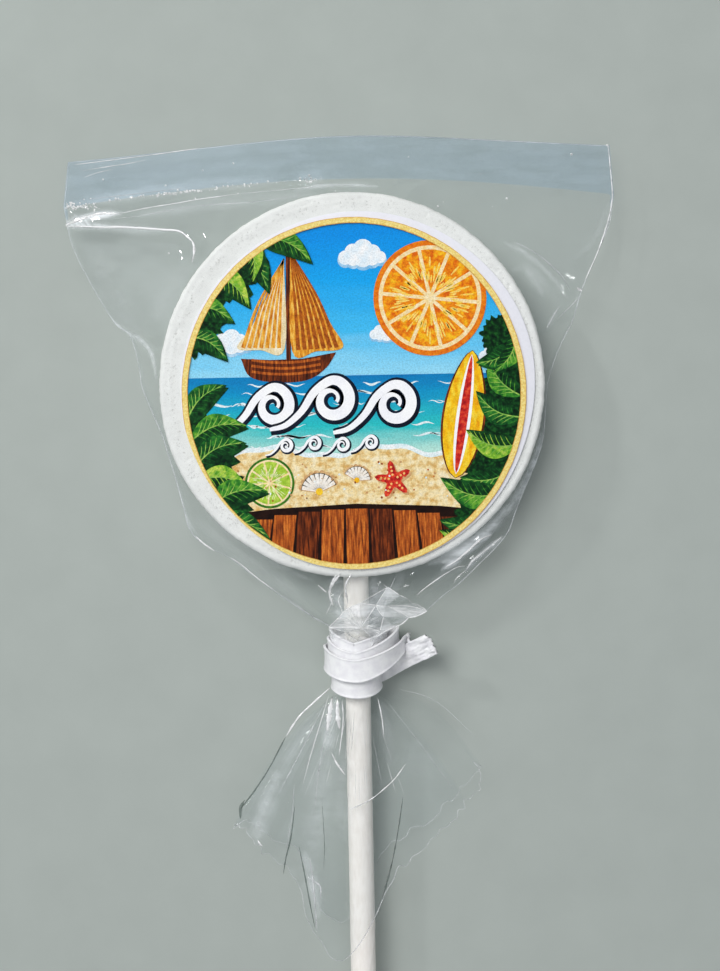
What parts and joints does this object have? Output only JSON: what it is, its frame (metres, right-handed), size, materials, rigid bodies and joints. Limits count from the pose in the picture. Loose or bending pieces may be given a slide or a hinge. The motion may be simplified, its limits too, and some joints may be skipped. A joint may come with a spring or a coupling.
{
  "type": "bagged disc lollipop",
  "caption": "Round white candy disc on a paper stick, in a clear heat-sealed film bag gathered with a flat tie, with a round sticker on the front.",
  "frame": {"origin": "middle of the disc, on the plane that the bag's flat back lies on", "axes": "+Z out of the sticker's face, +Y from the disc's middle to the bag's sealed top, so the stick runs along -Y"},
  "size_m": [0.094, 0.1963, 0.012],
  "materials": {
    "candy": "opaque white pressed sugar with a faintly chalky, pitted edge",
    "stick": "tightly rolled white paper, matte",
    "film": "clear glossy film with sharp creases",
    "label": null,
    "tie": "white flat tie with raised ridges along its edges"
  },
  "bodies": {
    "root": {"candy": "candy", "stick": "stick", "bag": "film", "label": "label", "tie": "tie"}
  },
  "joints": []
}
